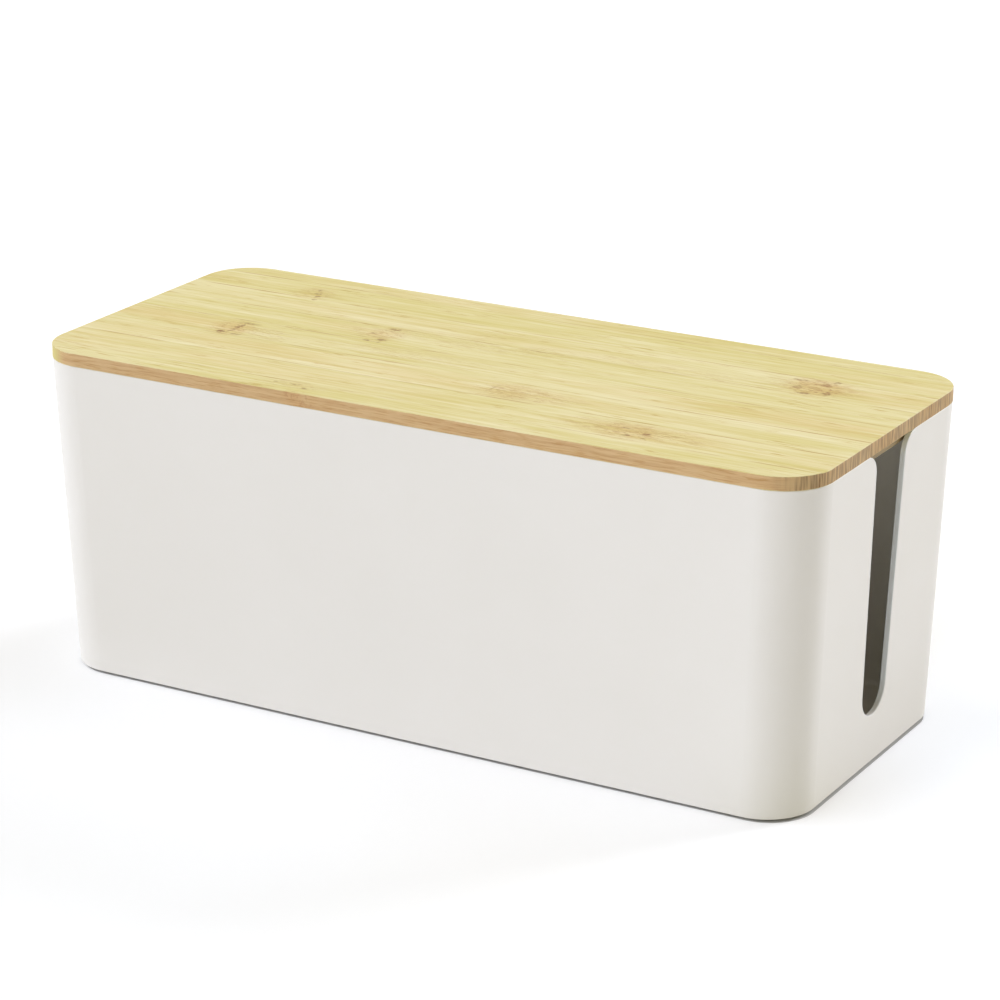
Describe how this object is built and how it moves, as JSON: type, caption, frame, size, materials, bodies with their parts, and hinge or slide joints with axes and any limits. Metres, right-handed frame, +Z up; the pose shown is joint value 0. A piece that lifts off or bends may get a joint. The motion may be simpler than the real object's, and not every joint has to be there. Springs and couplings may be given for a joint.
{
  "type": "cable management box",
  "caption": "Long moulded box with an open cable slot in each end and a lift-off bamboo lid, to hold a power strip and its leads.",
  "frame": {"origin": "on the table, under the middle of the box", "axes": "+X along the box towards its right end, -Y towards the front, +Z up"},
  "size_m": [0.32, 0.1354, 0.1276],
  "materials": {
    "shell_plastic": "satin moulded ABS, warm white",
    "bamboo_board": "pale bamboo strips, matt clear lacquer",
    "bamboo_cleat": "planed bamboo, unfinished",
    "foot_rubber": "grey silicone rubber"
  },
  "bodies": {
    "box": {"box_body": "shell_plastic", "foot_front_left": "foot_rubber", "foot_front_right": "foot_rubber", "foot_rear_left": "foot_rubber", "foot_rear_right": "foot_rubber"},
    "lid": {"lid_board": "bamboo_board", "lid_cleat_left": "bamboo_cleat", "lid_cleat_right": "bamboo_cleat"}
  },
  "joints": [
    {"name": "lid_lift", "type": "slide", "parent": "box", "child": "lid", "axis": [0, 0, 1], "range_m": [0, 0.15]}
  ]
}
